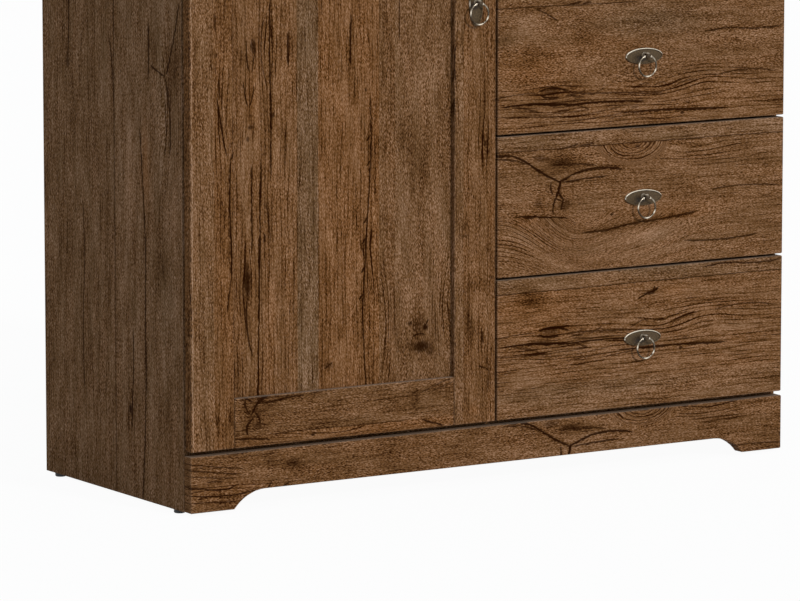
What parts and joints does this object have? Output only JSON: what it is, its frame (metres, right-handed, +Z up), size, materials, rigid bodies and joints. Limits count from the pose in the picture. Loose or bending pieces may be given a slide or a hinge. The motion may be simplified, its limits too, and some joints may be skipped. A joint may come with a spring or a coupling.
{
  "type": "chest of drawers",
  "caption": "Free-standing chest with a column of drawers beside a framed cupboard door, ring pulls and an arched plinth.",
  "frame": {"origin": "on the floor, under the middle of the top board", "axes": "+X to the right seen from the front, +Y from the front to the back, +Z up"},
  "size_m": [0.97, 0.4058, 0.872],
  "materials": {
    "oak": "satin rustic oak grain",
    "oak_inside": "matt oak grain",
    "hardboard": "matt hardboard",
    "batten_wood": "planed hardwood",
    "pewter": "dull cast metal with bright rim",
    "nickel": "polished nickel",
    "hinge_steel": "plated steel",
    "black_plastic": "matt moulded"
  },
  "bodies": {
    "carcass": {"side_left": "oak", "side_right": "oak", "partition": "oak_inside", "bottom_panel": "oak_inside", "top_panel": "oak", "back_panel": "hardboard", "plinth_front": "oak", "plinth_rear": "oak_inside", "shelf": "oak_inside", "glide_front_left": "black_plastic", "glide_front_right": "black_plastic", "glide_rear_left": "black_plastic", "glide_rear_right": "black_plastic", "batten_1_left": "batten_wood", "batten_1_right": "batten_wood", "batten_2_left": "batten_wood", "batten_2_right": "batten_wood", "batten_3_left": "batten_wood", "batten_3_right": "batten_wood", "batten_4_left": "batten_wood", "batten_4_right": "batten_wood", "hinge_arm_upper": "hinge_steel", "hinge_arm_lower": "hinge_steel"},
    "door": {"door_stile_hinge": "oak", "door_stile_handle": "oak", "door_rail_top": "oak", "door_rail_bottom": "oak", "door_panel": "oak", "hinge_cup_upper": "hinge_steel", "hinge_cup_lower": "hinge_steel", "door_plate": "pewter"},
    "door_ring": {"door_ring": "nickel"},
    "drawer_1": {"drawer_1_front": "oak", "drawer_1_side_left": "oak_inside", "drawer_1_side_right": "oak_inside", "drawer_1_back": "oak_inside", "drawer_1_bottom": "hardboard", "drawer_1_plate": "pewter"},
    "drawer_1_ring": {"drawer_1_ring": "nickel"},
    "drawer_2": {"drawer_2_front": "oak", "drawer_2_side_left": "oak_inside", "drawer_2_side_right": "oak_inside", "drawer_2_back": "oak_inside", "drawer_2_bottom": "hardboard", "drawer_2_plate": "pewter"},
    "drawer_2_ring": {"drawer_2_ring": "nickel"},
    "drawer_3": {"drawer_3_front": "oak", "drawer_3_side_left": "oak_inside", "drawer_3_side_right": "oak_inside", "drawer_3_back": "oak_inside", "drawer_3_bottom": "hardboard", "drawer_3_plate": "pewter"},
    "drawer_3_ring": {"drawer_3_ring": "nickel"},
    "drawer_4": {"drawer_4_front": "oak", "drawer_4_side_left": "oak_inside", "drawer_4_side_right": "oak_inside", "drawer_4_back": "oak_inside", "drawer_4_bottom": "hardboard", "drawer_4_plate": "pewter"},
    "drawer_4_ring": {"drawer_4_ring": "nickel"}
  },
  "joints": [
    {"name": "door_swing", "type": "hinge", "parent": "carcass", "child": "door", "pos_m": [-0.4625, -0.1804, 0.466], "axis": [0, 0, -1], "range_deg": [0, 95]},
    {"name": "drawer_1_slide", "type": "slide", "parent": "carcass", "child": "drawer_1", "axis": [0, -1, 0], "range_m": [0, 0.28]},
    {"name": "drawer_2_slide", "type": "slide", "parent": "carcass", "child": "drawer_2", "axis": [0, -1, 0], "range_m": [0, 0.28]},
    {"name": "drawer_3_slide", "type": "slide", "parent": "carcass", "child": "drawer_3", "axis": [0, -1, 0], "range_m": [0, 0.28]},
    {"name": "drawer_4_slide", "type": "slide", "parent": "carcass", "child": "drawer_4", "axis": [0, -1, 0], "range_m": [0, 0.28]},
    {"name": "door_ring_swing", "type": "hinge", "parent": "door", "child": "door_ring", "pos_m": [-0.034, -0.1975, 0.645], "axis": [-1, 0, 0], "range_deg": [-8, 188]},
    {"name": "drawer_1_ring_swing", "type": "hinge", "parent": "drawer_1", "child": "drawer_1_ring", "pos_m": [0.23525, -0.1975, 0.75287], "axis": [-1, 0, 0], "range_deg": [-8, 188]},
    {"name": "drawer_2_ring_swing", "type": "hinge", "parent": "drawer_2", "child": "drawer_2_ring", "pos_m": [0.23525, -0.1975, 0.56163], "axis": [-1, 0, 0], "range_deg": [-8, 188]},
    {"name": "drawer_3_ring_swing", "type": "hinge", "parent": "drawer_3", "child": "drawer_3_ring", "pos_m": [0.23525, -0.1975, 0.37038], "axis": [-1, 0, 0], "range_deg": [-8, 188]},
    {"name": "drawer_4_ring_swing", "type": "hinge", "parent": "drawer_4", "child": "drawer_4_ring", "pos_m": [0.23525, -0.1975, 0.17913], "axis": [-1, 0, 0], "range_deg": [-8, 188]}
  ]
}
